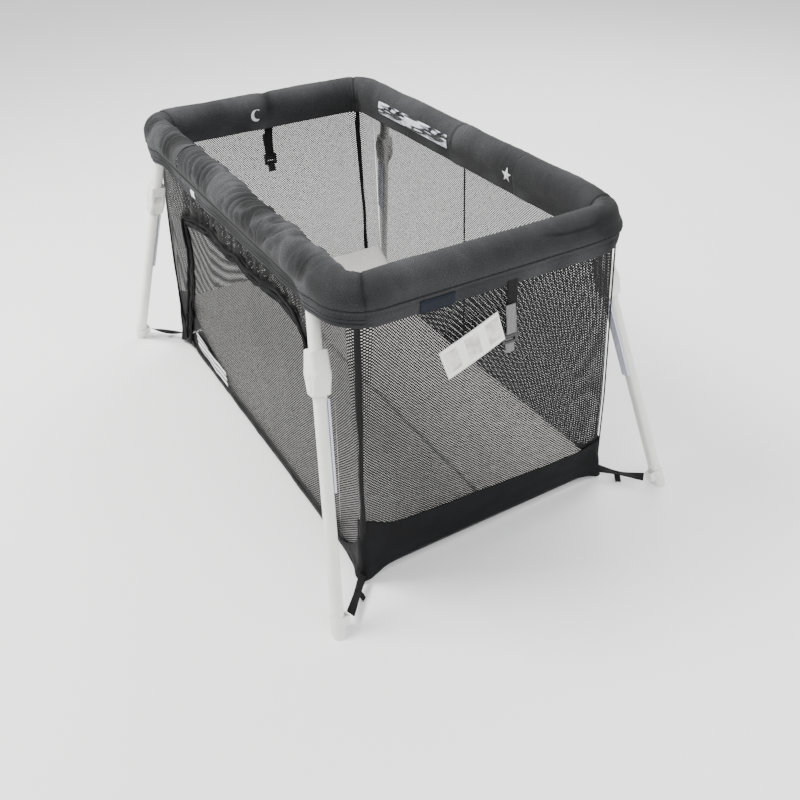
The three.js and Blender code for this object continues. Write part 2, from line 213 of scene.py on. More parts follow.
# ---- materials ----
class Nodes:
    def __init__(self, name, color, roughness, metallic=0.0):
        self.material = bpy.data.materials.new(name)
        self.material.use_nodes = True
        self.tree = self.material.node_tree
        self.shader = self.tree.nodes["Principled BSDF"]
        self.set("Base Color", (*color, 1))
        self.set("Roughness", roughness)
        self.set("Metallic", metallic)

    def set(self, socket, value):
        self.shader.inputs[socket].default_value = value

    def add(self, kind, **settings):
        node = self.tree.nodes.new(kind)
        for key, value in settings.items():
            if hasattr(node, key):
                setattr(node, key, value)
            else:
                node.inputs[key].default_value = value
        return node

    def link(self, a, b):
        self.tree.links.new(a, b)

    def coords(self, kind="UV", scale=(1, 1, 1), turn=0.0):
        where = self.add("ShaderNodeTexCoord").outputs[kind]
        mapping = self.add("ShaderNodeMapping")
        mapping.inputs["Scale"].default_value = scale
        mapping.inputs["Rotation"].default_value = (0, 0, turn)
        self.link(where, mapping.inputs["Vector"])
        return mapping.outputs["Vector"]

    def noise(self, vector, scale, detail=3.0, rough=0.6):
        node = self.add("ShaderNodeTexNoise")
        node.inputs["Scale"].default_value = scale
        node.inputs["Detail"].default_value = detail
        node.inputs["Roughness"].default_value = rough
        self.link(vector, node.inputs["Vector"])
        return node.outputs["Fac"]

    def wave(self, vector, scale, direction="X", distortion=0.0):
        node = self.add("ShaderNodeTexWave", bands_direction=direction)
        node.inputs["Scale"].default_value = scale
        node.inputs["Distortion"].default_value = distortion
        self.link(vector, node.inputs["Vector"])
        return node.outputs["Fac"]

    def math(self, operation, a, b=None):
        node = self.add("ShaderNodeMath", operation=operation)
        for k, value in enumerate((a, b)):
            if value is None:
                continue
            if isinstance(value, (int, float)):
                node.inputs[k].default_value = value
            else:
                self.link(value, node.inputs[k])
        return node.outputs[0]

    def ramp(self, fac, stops):
        node = self.add("ShaderNodeValToRGB")
        elements = node.color_ramp.elements
        while len(elements) < len(stops):
            elements.new(0.5)
        for element, (position, color) in zip(elements, stops):
            element.position = position
            element.color = (*color, 1)
        self.link(fac, node.inputs["Fac"])
        return node.outputs["Color"]

    def bump(self, height, strength, distance, normal=None):
        node = self.add("ShaderNodeBump")
        node.inputs["Strength"].default_value = strength
        node.inputs["Distance"].default_value = distance
        self.link(height, node.inputs["Height"])
        if normal is not None:
            self.link(normal, node.inputs["Normal"])
        return node.outputs["Normal"]

    def to(self, socket, output):
        self.link(output, self.shader.inputs[socket])


def heather_cloth(name, dark, mid, light):
    """Woven melange: two thread directions with flecks of lighter fibre, plus painted shade in the fold
    grooves and a painted highlight on the fold crests.
    """
    m = Nodes(name, mid, 0.92)
    uv = m.coords("UV")
    long_threads = m.noise(m.coords("UV", (1, 0.22, 1)), 2600, 2)
    cross_threads = m.noise(m.coords("UV", (0.22, 1, 1)), 2600, 2)
    weave = m.math("MULTIPLY", m.math("ADD", long_threads, cross_threads), 0.5)
    patches = m.noise(uv, 30, 3)
    mix = m.math("ADD", m.math("MULTIPLY", weave, 0.95), m.math("MULTIPLY", patches, 0.05))
    cloth = m.ramp(mix, [(0.36, dark), (0.5, mid), (0.64, light)])
    # painted shade and painted highlight: the stored relief darkens the cover's grooves and lightens its
    # crests in the base colour
    relief = m.add("ShaderNodeAttribute", attribute_name="relief").outputs["Fac"]
    groove_shade_crest_highlight = m.ramp(relief, [(0.25, (0.45, 0.45, 0.45)), (0.48, (0.9, 0.9, 0.9)), (0.75, (1.65, 1.65, 1.65))])
    shade = m.add("ShaderNodeMix", data_type="RGBA", blend_type="MULTIPLY")
    shade.inputs["Factor"].default_value = 1.0
    m.link(cloth, shade.inputs[6])
    m.link(groove_shade_crest_highlight, shade.inputs[7])
    m.to("Base Color", shade.outputs[2])
    rib = m.math("MULTIPLY", m.wave(uv, 420, "X"), m.wave(uv, 420, "Y"))
    height = m.math("ADD", m.math("MULTIPLY", weave, 0.7), m.math("MULTIPLY", rib, 0.3))
    m.to("Normal", m.bump(height, 0.35, 0.0006))
    m.set("Sheen Weight", 0.03)
    m.set("Sheen Roughness", 0.5)
    m.set("Specular IOR Level", 0.12)
    return m.material


def net_cloth(name, color, pitch, hole):
    """Knitted net: round-cornered diamond holes between thin threads."""
    m = Nodes(name, color, 0.75)
    uv = m.coords("UV", (1, 1, 1), math.pi / 4)
    separate = m.add("ShaderNodeSeparateXYZ")
    m.link(uv, separate.inputs[0])
    def stripes(axis):
        turns = m.math("MULTIPLY", separate.outputs[axis], math.pi / pitch)
        return m.math("ABSOLUTE", m.math("SINE", turns))
    cells = m.math("MULTIPLY", stripes(0), stripes(1))
    cover = m.math("LESS_THAN", cells, hole)
    m.to("Alpha", cover)
    shade = m.noise(m.coords("UV"), 14, 3)
    darker = tuple(c * 0.55 for c in color)
    m.to("Base Color", m.ramp(shade, [(0.3, darker), (0.7, color)]))
    m.to("Normal", m.bump(cells, 0.3, 0.0005))
    m.set("Specular IOR Level", 0.3)
    m.material.blend_method = "HASHED"
    return m.material


def coated_cloth(name, color, rough):
    m = Nodes(name, color, rough)
    uv = m.coords("UV")
    weave = m.math("MULTIPLY", m.wave(uv, 150, "X"), m.wave(uv, 150, "Y"))
    creases = m.noise(uv, 40, 4)
    lighter = tuple(min(1, c * 1.5 + 0.0008) for c in color)
    m.to("Base Color", m.ramp(m.noise(uv, 9, 4), [(0.35, color), (0.7, lighter)]))
    first = m.bump(creases, 0.25, 0.004)
    m.to("Normal", m.bump(weave, 0.25, 0.0004, first))
    m.set("Specular IOR Level", 0.14)
    return m.material


def webbing_cloth(name, color):
    m = Nodes(name, color, 0.7)
    uv = m.coords("UV")
    rib = m.wave(uv, 105, "X", 1.5)
    threads = m.noise(m.coords("UV", (1, 0.2, 1)), 1500, 2)
    height = m.math("ADD", rib, m.math("MULTIPLY", threads, 0.5))
    lighter = tuple(c * 2.2 + 0.003 for c in color)
    m.to("Base Color", m.ramp(height, [(0.3, color), (1.0, lighter)]))
    m.to("Normal", m.bump(height, 0.6, 0.0006))
    m.set("Specular IOR Level", 0.2)
    return m.material


def moulded(name, color, rough=0.4, grain=900, depth=0.15, coat=0.0):
    """Moulded or coated surface: fine grain, slight tone change and smudged gloss."""
    m = Nodes(name, color, rough)
    where = m.coords("Object")
    tone = m.noise(where, 18, 3)
    darker = tuple(c * 0.93 for c in color)
    m.to("Base Color", m.ramp(tone, [(0.35, darker), (0.6, color)]))
    gloss = m.add("ShaderNodeMapRange")
    gloss.inputs["To Min"].default_value = rough - 0.07
    gloss.inputs["To Max"].default_value = rough + 0.1
    m.link(m.noise(where, 40, 4), gloss.inputs["Value"])
    m.to("Roughness", gloss.outputs["Result"])
    m.to("Normal", m.bump(m.noise(where, grain, 2), depth, 0.0003))
    m.set("Coat Weight", coat)
    m.set("Coat Roughness", 0.2)
    return m.material


def mattress_cloth(name):
    """Soft light cloth with rows of small pale printed dashes."""
    m = Nodes(name, (0.60, 0.585, 0.55), 0.85)
    uv = m.coords("UV")
    dashes = m.add("ShaderNodeTexBrick", offset=0.5)
    dashes.inputs["Scale"].default_value = 1.0
    dashes.inputs["Brick Width"].default_value = 0.040
    dashes.inputs["Row Height"].default_value = 0.030
    dashes.inputs["Mortar Size"].default_value = 0.0125
    dashes.inputs["Mortar Smooth"].default_value = 0.05
    m.link(uv, dashes.inputs["Vector"])
    broken = m.math("GREATER_THAN", m.noise(uv, 90, 2), 0.52)
    mark = m.math("MULTIPLY", m.math("SUBTRACT", 1.0, dashes.outputs["Fac"]), broken)
    base = m.ramp(m.noise(uv, 12, 4), [(0.3, (0.76, 0.75, 0.72)), (0.7, (0.81, 0.80, 0.77))])
    mix = m.add("ShaderNodeMix", data_type="RGBA")
    m.link(mark, mix.inputs["Factor"])
    m.link(base, mix.inputs[6])
    mix.inputs[7].default_value = (0.93, 0.93, 0.91, 1)
    m.to("Base Color", mix.outputs[2])
    weave = m.math("MULTIPLY", m.wave(uv, 260, "X"), m.wave(uv, 260, "Y"))
    soft = m.bump(m.noise(uv, 35, 3), 0.2, 0.004)
    m.to("Normal", m.bump(weave, 0.3, 0.0004, soft))
    m.set("Sheen Weight", 0.15)
    return m.material


HEATHER = heather_cloth("heather_cloth", (0.008, 0.008, 0.009), (0.026, 0.0265, 0.028), (0.085, 0.086, 0.089))
PIPING = webbing_cloth("piping_cloth", (0.006, 0.006, 0.007))
NET = net_cloth("net_cloth", (0.004, 0.004, 0.0042), 0.0042, 0.69)
BAND = coated_cloth("band_cloth", (0.0018, 0.0020, 0.0026), 0.66)
BINDING = webbing_cloth("binding_tape", (0.0016, 0.0016, 0.0019))
STRAP = webbing_cloth("strap_webbing", (0.0018, 0.0018, 0.002))
GREY_STRAP = webbing_cloth("grey_webbing", (0.10, 0.10, 0.10))
LEG = moulded("leg_coat", (0.80, 0.80, 0.775), 0.3, 700, 0.08, 0.25)
HUB = moulded("hub_plastic", (0.83, 0.825, 0.80), 0.38, 1200, 0.15)
FOOT = moulded("foot_plastic", (0.80, 0.795, 0.775), 0.42, 1200, 0.15)
STRIP = moulded("strip_plastic", (0.62, 0.64, 0.74), 0.3, 900, 0.1, 0.3)
BLACK_PLASTIC = moulded("buckle_plastic", (0.016, 0.016, 0.018), 0.4, 1200, 0.2)
BUTTON = moulded("button_plastic", (0.45, 0.46, 0.49), 0.45, 1200, 0.2)
RAIL = moulded("rail_metal", (0.55, 0.56, 0.57), 0.35, 500, 0.1)
CARD = moulded("card", (0.80, 0.80, 0.80), 0.7, 1500, 0.2)
THREAD = moulded("pale_thread", (0.72, 0.73, 0.74), 0.7, 1500, 0.5)
MATTRESS = mattress_cloth("mattress_cloth")

CAD_FINISH = [
    ("channel_strip", STRIP), ("upper_leg", LEG), ("lower_leg", LEG), ("knee_button", HUB),
    ("_hub", HUB), ("foot_cap", FOOT), ("latch_button", BUTTON), ("_rail", RAIL),
    ("buckle", BLACK_PLASTIC), ("tub_floor", BAND),
]


def paint_frame():
    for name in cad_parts:
        node = bpy.data.objects.get(name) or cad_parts[name]
        for ending, material in CAD_FINISH:
            if name.endswith(ending):
                node.data.materials.clear()
                node.data.materials.append(material)
                break


paint_frame()


# ---- the rim: one padded loop, cut into pieces at its seams and joints ----
def ring_frame(s):
    """Centreline point and outward direction at each distance s round the rail, from the front middle."""
    s = np.mod(s, LENGTH)
    legs = [
        ("line", LONG, (0, -RAIL_Y), (1, 0)), ("arc", ARC, (LONG, -SHORT), -90),
        ("line", 2 * SHORT, (RAIL_X, -SHORT), (0, 1)), ("arc", ARC, (LONG, SHORT), 0),
        ("line", 2 * LONG, (LONG, RAIL_Y), (-1, 0)), ("arc", ARC, (-LONG, SHORT), 90),
        ("line", 2 * SHORT, (-RAIL_X, SHORT), (0, -1)), ("arc", ARC, (-LONG, -SHORT), 180),
        ("line", LONG, (-LONG, -RAIL_Y), (1, 0)),
    ]
    points, outs = np.zeros((len(s), 2)), np.zeros((len(s), 2))
    start = 0.0
    for kind, length, where, way in legs:
        inside = (s >= start - 1e-9) & (s <= start + length + 1e-9)
        t = s[inside] - start
        if kind == "line":
            points[inside] = np.array(where) + t[:, None] * np.array(way)
            outs[inside] = (way[1], -way[0])
        else:
            angle = np.radians(way) + t / BEND
            out = np.stack([np.cos(angle), np.sin(angle)], 1)
            points[inside] = np.array(where) + BEND * out
            outs[inside] = out
        start += length
    return points, outs


COVER = [  # (outward, up) from the outer hem, over the top, to the inner hem, in metres
    (0.0300, -0.0500), (0.0312, -0.0440), (0.0322, -0.0370), (0.0326, -0.0300), (0.0312, -0.0258),
    (0.0335, -0.0220), (0.0356, -0.0130), (0.0362, -0.0020), (0.0345, 0.0100), (0.0290, 0.0210),
    (0.0200, 0.0300), (0.0090, 0.0350), (-0.0030, 0.0358), (-0.0150, 0.0325), (-0.0250, 0.0245),
    (-0.0315, 0.0140), (-0.0345, 0.0020), (-0.0342, -0.0110), (-0.0320, -0.0215), (-0.0300, -0.0300),
    (-0.0290, -0.0390), (-0.0280, -0.0470),
]


PROFILE, RUN = smooth_line(COVER, 76, 12)

FRONT_MID = 0.0
CORNER_D = LONG + ARC / 2
CORNER_C = LONG + ARC + 2 * SHORT + ARC / 2
BACK_START = LONG + 2 * ARC + 2 * SHORT
BACK_MID = BACK_START + LONG
CORNER_B = BACK_START + 2 * LONG + ARC / 2
CORNER_A = LENGTH - LONG - ARC / 2
RIM_STEP = 0.0036  # spacing of the cover's points along the rim
SEAM_D = CORNER_D + 0.020
SEAM_C = CORNER_C + 0.030
SEAM_B = CORNER_B + 0.015
SEAM_A = CORNER_A - 0.015
LEFT_PULL = 2.32  # distance along the rim of a soft pull near the middle of the left end


def round_gap(a, b):
    return np.abs((a - b + LENGTH / 2) % LENGTH - LENGTH / 2)


def front_share(s):
    """1 on the front long side, 0 elsewhere, with soft ends."""
    away = round_gap(s, FRONT_MID)
    return np.clip((LONG + 0.03 - away) / 0.08, 0, 1)


def rim_points(s):
    centre, out = ring_frame(s)
    grid_s, grid_v = np.meshgrid(s, RUN, indexing="ij")
    v = grid_v / RUN[-1]
    d = np.gradient(PROFILE, axis=0)
    normal = np.stack([-d[:, 1], d[:, 0]], 1) * -1
    normal /= np.linalg.norm(normal, axis=1)[:, None]
    front = front_share(s)[:, None]
    pad = np.clip((v - 0.18) / 0.08, 0, 1) * np.clip((0.86 - v) / 0.1, 0, 1)
    slant = grid_s + 0.022 * np.sin(3.0 * v + 9 * grid_s) + 0.010 * noise(grid_s / 0.06, v * 3, 31)
    cross = ridge(slant / 0.030 + 40, v * 2.6, 3, 5) - 0.34
    fine = ridge(slant / 0.014 + 90, v * 4.2 + 5, 5, 4) - 0.38
    diagonal = ridge((slant + 0.06 * v) / 0.045 + 11, v * 1.6 + 3, 33, 7) - 0.22
    soft = noise(grid_s / 0.085 + 20, v * 3 + 9, 8)
    amount = 0.0008 + 0.0046 * front
    move = pad * (amount * (0.5 * cross + 0.3 * fine + 0.6 * diagonal) + (0.0013 + 0.0030 * front) * soft)
    phase = slant / 0.027 + 1.5 * noise(grid_s / 0.09 + 5, v * 1.9, 35)
    drop = phase - np.floor(phase)
    strength = np.clip(0.3 + 0.9 * noise(np.floor(phase) * 0.37, v * 2.4, 36), 0, 1)
    move += pad * front * 0.0062 * strength * ((1 - drop) ** 1.5 * np.clip(drop / 0.16, 0, 1) - 0.3)
    cut = 0.013 * bump_at(round_gap(s, CORNER_C), 0, 0.055)[:, None] * (0.35 + 0.65 * pad)
    move -= cut * np.clip((0.62 - v) / 0.3, 0, 1)
    corners = (CORNER_A, CORNER_B, CORNER_C, CORNER_D)
    corner = sum(bump_at(round_gap(s, c), 0, 0.035) for c in corners)[:, None]
    inner = np.clip((v - 0.5) / 0.3, 0, 1)
    pucker = np.sin(2 * np.pi * grid_s / 0.0125 + 3 * noise(grid_s / 0.03, v * 2, 12))
    move += corner * inner * 0.0016 * pucker
    hem = np.clip((0.17 - v) / 0.05, 0, 1) + np.clip((v - 0.86) / 0.06, 0, 1)
    flutter = 0.0012 * noise(grid_s / 0.05 + 3, v * 2, 15)
    move += hem * (flutter + 0.0022 * front * noise(grid_s / 0.09 + 3, v, 16))
    seam = bump_at(v, 0.165, 0.012)
    move -= 0.0010 * seam * (1 + 0.6 * np.sin(2 * np.pi * grid_s / 0.011))
    leg_places = (LEG_X, LENGTH - LEG_X, BACK_MID - LEG_X, BACK_MID + LEG_X)
    legs = sum(bump_at(round_gap(s, c), 0, 0.026) for c in leg_places)[:, None]
    move += legs * np.clip((0.34 - v) / 0.2, 0, 1) * 0.0075
    for c in (SEAM_A, SEAM_B, SEAM_C, SEAM_D):
        move -= pad * 0.0022 * bump_at(round_gap(grid_s, c), 0, 0.0035)
    crease_line = 0.40 + 0.07 * np.sin((grid_s - CORNER_C) * 14)
    along_end = np.clip((grid_s - CORNER_C + 0.20) / 0.05, 0, 1)
    along_end = along_end * np.clip((CORNER_C - 0.05 - grid_s) / 0.05, 0, 1)
    move -= 0.0022 * along_end * bump_at(v, crease_line, 0.012)
    move -= pad * 0.0030 * bump_at(round_gap(grid_s, BACK_MID + 0.012), 0, 0.005)
    lump = sum(bump_at(round_gap(s, c), 0, 0.03) for c in (FRONT_MID, BACK_MID))[:, None]
    move += lump * pad * 0.0022
    move -= pad * 0.0026 * bump_at(round_gap(grid_s, LEFT_PULL), 0, 0.012)
    across = PROFILE[None, :, 0] + move * normal[None, :, 0]
    up = PROFILE[None, :, 1] + move * normal[None, :, 1]
    dip = -0.004 * front * np.cos(np.pi * np.clip(round_gap(s, FRONT_MID)[:, None] / LONG, 0, 1) / 2)
    up = up + dip * hem
    points = np.zeros((*grid_s.shape, 3))
    points[..., 0] = centre[:, None, 0] + across * out[:, None, 0]
    points[..., 1] = centre[:, None, 1] + across * out[:, None, 1]
    points[..., 2] = RAIL_Z + up
    uv = np.stack([grid_s, grid_v], -1)
    return points, uv, move - noise(grid_s / 0.3, v, 37) * 0.0005


def set_relief(obj, relief):
    """Keeps how far each point stands out, so that painted shade can darken the grooves and a painted
    highlight can lighten the crests.
    """
    layer = obj.data.attributes.new("relief", "FLOAT", "POINT")
    layer.data.foreach_set("value", (0.5 + relief / 0.010).clip(0, 1).astype(np.float32).ravel())


def rim_piece(name, start, end, nodes):
    count = max(4, int(round((end - start) / RIM_STEP)) + 1)
    points, uv, relief = rim_points(np.linspace(start, end, count))
    obj = grid_object(name, points, uv=uv)
    set_relief(obj, relief)
    thicken(obj, 0.0016, -1.0)
    finish_piece(obj, HEATHER)
    if nodes:
        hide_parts(*nodes)
    return obj


def piping(name, start, end, level=0.165, radius=0.0013):
    """The corded seam between the padded tube and its hem."""
    count = max(4, int(round((end - start) / 0.006)) + 1)
    points, _, _ = rim_points(np.linspace(start, end, count))
    row = int(round(level * (points.shape[1] - 1)))
    line = points[:, row]
    _, outward = ring_frame(np.linspace(start, end, count))
    side = np.concatenate([outward, np.zeros((count, 1))], 1)
    angles = np.linspace(0, 2 * np.pi, 9)[:-1]
    ring = line[:, None] + radius * (np.cos(angles)[None, :, None] * side[:, None]
                                     + np.sin(angles)[None, :, None] * np.array([0, 0, 1.0]))
    obj = grid_object(name, ring + 0.0004 * side[:, None], close_v=True, caps=True)
    return finish_piece(obj, PIPING)


MID_CUT = 0.22


def over_middle(side, side_y, reach=0.05):
    return f"{side}_right", f"{side}_left", (reach, side_y * 0.3, RAIL_Z), (-reach, side_y * 0.3, RAIL_Z)


def over_corner(end, side_x, side, side_y):
    """The same for a piece that goes from an end to a half rail, over the corner pivot."""
    first, last = ((side_x * x, side_y * 0.29, RAIL_Z) for x in (0.47, 0.41))
    return f"{end}_end", f"{side}_{end}", first, last


RIM = [
    ("rim_front_mid", -MID_CUT, MID_CUT, [], over_middle("front", -1)),
    ("rim_front_right", MID_CUT, SEAM_D, ["front_right_pad"], over_corner("right", 1, "front", -1)),
    ("rim_right_end", SEAM_D, SEAM_C, ["right_end_pad"], "right_end"),
    ("rim_back_right", SEAM_C, BACK_MID - MID_CUT, ["back_right_pad"], over_corner("right", 1, "back", 1)),
    ("rim_back_mid", BACK_MID - MID_CUT, BACK_MID + MID_CUT, [], over_middle("back", 1)),
    ("rim_back_left", BACK_MID + MID_CUT, SEAM_B, ["back_left_pad"], over_corner("left", -1, "back", 1)),
    ("rim_left_end", SEAM_B, SEAM_A, ["left_end_pad"], "left_end"),
    ("rim_left_corner", SEAM_A, LENGTH - PIVOT_X, [], "left_end"),
    ("rim_front_left", LENGTH - PIVOT_X, LENGTH - MID_CUT, ["front_left_pad"], "front_left"),
]


def attach(obj, how):
    if isinstance(how, str):
        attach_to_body(obj, how)
    else:
        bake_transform(obj)
    return obj


def add_rim():
    for name, start, end, nodes, how in RIM:
        attach(rim_piece(name, start, end, nodes), how)
        attach(piping(name + "_piping", start, end), how)
        if "front" in name:
            attach(piping(name + "_hem_cord", start, end, 0.045, 0.0009), how)
            attach(piping(name + "_hem_stitch", start, end, 0.075, 0.0007), how)


add_rim()


# ---- the tub: net walls that turn round the corners, bands and bindings ----
NET_TOP = -0.02  # share of the wall height that the net runs up inside the hem


def tub_half(t):
    """Half length and half width of the tub, and its corner radius, at share t down from the hem."""
    return TOP_X + (TUB_X - TOP_X) * t, TOP_Y + (TUB_Y - TOP_Y) * t, 0.036 - 0.024 * np.clip(1.6 * t, 0, 1)


def wrap_columns(side_cells, arc_cells, end_cells):
    """(segment, share) of each column round one end: front side, corner, end, corner, back side."""
    columns = []
    for segment, cells in ((0, side_cells), (1, arc_cells), (2, end_cells), (3, arc_cells), (4, side_cells)):
        columns += [(segment, k / cells) for k in range(cells)]
    return columns + [(4, 1.0)]


def tub_wrap(columns, t, start):
    """Points and outward directions round the right end, for columns that begin at |x| = start."""
    half_x, half_y, r = tub_half(t)
    z_at = WALL_TOP_Z + (TUB_Z - WALL_TOP_Z) * t
    points, outs = np.zeros((len(columns), t.shape[-1], 3)), np.zeros((len(columns), t.shape[-1], 3))
    for i, (segment, share) in enumerate(columns):
        hx, hy, rr = (v if v.ndim == 1 else v[i] for v in (half_x, half_y, r))
        if segment in (0, 4):
            k = share if segment == 0 else 1 - share
            sign = -1 if segment == 0 else 1
            x, y, out = start + (hx - rr - start) * k, sign * hy, (0.0, float(sign))
        elif segment in (1, 3):
            sign = -1 if segment == 1 else 1
            turn = math.pi / 2 * (1 - share if segment == 1 else share)
            out = (math.cos(turn), sign * math.sin(turn))
            x, y = hx - rr + rr * out[0], sign * (hy - rr) + rr * out[1]
        else:
            x, y, out = hx, (hy - rr) * (2 * share - 1), (1.0, 0.0)
        points[i, :, 0], points[i, :, 1], points[i, :, 2] = x, y, z_at if z_at.ndim == 1 else z_at[i]
        outs[i, :, 0], outs[i, :, 1] = out
    return points, outs


def long_wall(side, side_y):
    """Net wall of a long side, between its two corner pivots."""
    seed = 30 + side_y
    xs = np.linspace(PIVOT_X, -PIVOT_X, int(2 * PIVOT_X / 0.010) + 1)
    gx, gt = np.meshgrid(xs, np.linspace(NET_TOP, 1, 52), indexing="ij")
    y_at = TOP_Y + (TUB_Y - TOP_Y) * gt
    z_at = WALL_TOP_Z + (TUB_Z - WALL_TOP_Z) * gt
    hold = np.sin(np.pi * np.clip(gt, 0, 1)) * np.clip((PIVOT_X - np.abs(gx)) / 0.05, 0, 1)
    waves = noise(gx / 0.16 + seed, gt * 2.2, seed) + 0.4 * noise(gx / 0.05, gt * 1.1, seed + 1)
    ripple = 0.004 * hold * waves
    obj = grid_object(f"{side}_net", np.stack([gx, side_y * (y_at + ripple), z_at], -1))
    finish_piece(obj, NET)
    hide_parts(f"{side}_right_wall", f"{side}_left_wall")
    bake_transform(obj)


def end_net(end, side_x):
    """Net round one end of the tub, from one side hinge to the other."""
    columns = wrap_columns(8, 8, 54)
    t = np.linspace(NET_TOP, 1, 52)
    points, outs = tub_wrap(columns, t, PIVOT_X)
    hold = np.sin(np.pi * np.clip(t, 0, 1))[None]
    flat = np.array([math.sin(math.pi * share) if segment == 2 else 0.0 for segment, share in columns])
    flat = flat[:, None]
    run = np.arange(len(columns))[:, None] / 14.0
    ripple = 0.004 * hold * flat * noise(run + 7 * side_x, t[None] * 2.4, 41)
    ripple = ripple + 0.0015 * hold * noise(run * 3.1, t[None] * 1.3 + 3, 42)
    points = (points + ripple[..., None] * outs) * (side_x, 1, 1)
    obj = grid_object(f"{end}_end_net", points)
    finish_piece(obj, NET)
    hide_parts(f"{end}_end_wall", f"front_{end}_gusset", f"back_{end}_gusset")
    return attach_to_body(obj, f"{end}_end")


def ribbon(name, path, width_way, width, material, thickness=0.0012, crown=0.0, rows=7):
    """A flat tape along a path, its width running along width_way at each point."""
    path = np.array(path, float)
    ways = np.broadcast_to(np.array(width_way, float), path.shape)
    ways = ways / np.linalg.norm(ways, axis=1)[:, None]
    along = np.gradient(path, axis=0)
    face = np.cross(along, ways)
    face /= np.maximum(np.linalg.norm(face, axis=1)[:, None], 1e-9)
    span = np.linspace(-0.5, 0.5, rows)
    widths = np.broadcast_to(np.asarray(width, float), (len(path),))
    points = (path[:, None] + ways[:, None] * (span[None, :, None] * widths[:, None, None])
              + face[:, None] * (crown * (1 - (2 * span[None, :, None]) ** 2)))
    run = np.concatenate([[0], np.cumsum(np.linalg.norm(np.diff(path, axis=0), axis=1))])
    gu, gv = np.meshgrid(run, span, indexing="ij")
    uv = np.stack([gv * widths[:, None], gu], -1)
    obj = grid_object(name, points, uv=uv)
    thicken(obj, thickness, 0.0)
    finish_piece(obj, material)
    return obj


def add_tub():
    for side, side_y in SIDES:
        long_wall(side, side_y)
    for end, side_x in ENDS:
        end_net(end, side_x)


add_tub()


# ---- bottom bands, bindings and edging ----
def band_height(y):
    """Top of the end band above the floor line: higher towards both corners and on the front side."""
    far = np.clip((y + TUB_Y) / (2 * TUB_Y), 0, 1)
    plain = 0.112 - 0.034 * far
    return plain + 0.030 * bump_at(y, -TUB_Y, 0.045) + 0.016 * bump_at(y, TUB_Y, 0.05)


def end_band(end, side_x):
    """Smooth black cloth along the tub's end, wrapped round both corners and drawn down to the straps."""
    columns = wrap_columns(24, 8, 96)
    middle = np.full((len(columns), 1), 0.97)
    place, _ = tub_wrap(columns, middle, PIVOT_X)
    y = place[:, 0, 1]
    run = np.concatenate([[0], np.cumsum(np.linalg.norm(np.diff(place[:, 0], axis=0), axis=1))])
    corners = [run[i] for i, column in enumerate(columns) if column in ((1, 0.5), (3, 0.5))]
    away = np.minimum(np.abs(run - corners[0]), np.abs(run - corners[1]))
    near = np.exp(-away / 0.030)
    side = np.array([segment in (0, 4) for segment, _ in columns])
    top = np.where(side, TUB_Z + 0.012 + 0.105 * np.exp(-away / 0.040), TUB_Z + band_height(y))
    low = TUB_Z - 0.004 + 0.014 * (1 - np.exp(-away / 0.045)) - 0.005 * near
    rows = np.linspace(0, 1, 26)
    zz = low[:, None] + (top - low)[:, None] * rows
    points, outs = tub_wrap(columns, (WALL_TOP_Z - zz) / (WALL_TOP_Z - TUB_Z), PIVOT_X)
    gs, gr = np.meshgrid(run, rows, indexing="ij")
    pucker = 0.0010 * noise(gs / 0.05 + 4, gr * 3, 61) + 0.0016 * noise(gs / 0.16, gr * 2, 62)
    ear = 0.012 * near[:, None] * (1 - gr) ** 2
    fold = 0.0016 * near[:, None] * np.sin(11 * gr + gs / 0.006) * (1 - gr)
    move = 0.0030 + 0.0016 * np.minimum(1, 3 * gr) * (1 - gr) + pucker + ear + fold
    points = (points + move[..., None] * outs) * (side_x, 1, 1)
    obj = grid_object(f"{end}_end_band", points, uv=np.stack([gs, zz], -1))
    thicken(obj, 0.0009, 0.0)
    finish_piece(obj, BAND)
    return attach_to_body(obj, f"{end}_end")


def add_bindings():
    for end, side_x in ENDS:
        end_band(end, side_x)
        for side, side_y in SIDES:
            t = np.linspace(-0.02, 0.94, 60)
            half_x, half_y, r = tub_half(t)
            inset = r * (1 - math.sqrt(0.5)) - 0.0022
            wobble = 0.0018 * noise(t * 7 + 3 * side_x, t * 0 + side_y, 71)
            path = np.stack([half_x - inset + wobble, half_y - inset - wobble,
                             WALL_TOP_Z + (TUB_Z - WALL_TOP_Z) * t], 1) * (side_x, side_y, 1)
            width = 0.0105 + 0.003 * noise(t * 9, t * 0 + 5, 72)
            tape = ribbon(f"{side}_{end}_binding", path, (side_x, -side_y, 0), width, BINDING,
                          0.0010, crown=-0.0022 * side_x * side_y)
            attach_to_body(tape, f"{end}_end")
    for side, side_y in SIDES:
        x = np.linspace(PIVOT_X, -PIVOT_X, 140)
        path = np.stack([x, side_y * (TUB_Y + 0.0010 + 0.0008 * noise(x / 0.03, x * 0, 74)),
                         TUB_Z + 0.008 + 0.003 * noise(x / 0.12, x * 0, 73)], 1)
        edge = ribbon(f"{side}_edging", path, (0, 0, 1), 0.014, BINDING, 0.0010)
        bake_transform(edge)
    t = np.linspace(0, 1, 50)
    path = np.stack([0 * t, 0.2860 + 0.0157 * t, WALL_TOP_Z - 0.555 * t], 1)
    seam = ribbon("back_wall_seam", path, (1, 0, 0), 0.006, BINDING, 0.0008)
    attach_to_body(seam, "back_right")


add_bindings()


# ---- the folded door: a zipped band that arches across the front wall ----
DOOR = [
    (-0.492, 0.032), (-0.474, 0.065), (-0.445, 0.125), (-0.414, 0.189), (-0.378, 0.262), (-0.354, 0.330),
    (-0.352, 0.390), (-0.358, 0.434), (-0.325, 0.456), (-0.260, 0.470), (-0.171, 0.484), (-0.119, 0.485),
    (-0.055, 0.480), (0.008, 0.491), (0.060, 0.484), (0.110, 0.488), (0.190, 0.500), (0.265, 0.503),
    (0.312, 0.490), (0.341, 0.462), (0.366, 0.415), (0.384, 0.345), (0.398, 0.250), (0.406, 0.150),
    (0.410, 0.040),
]


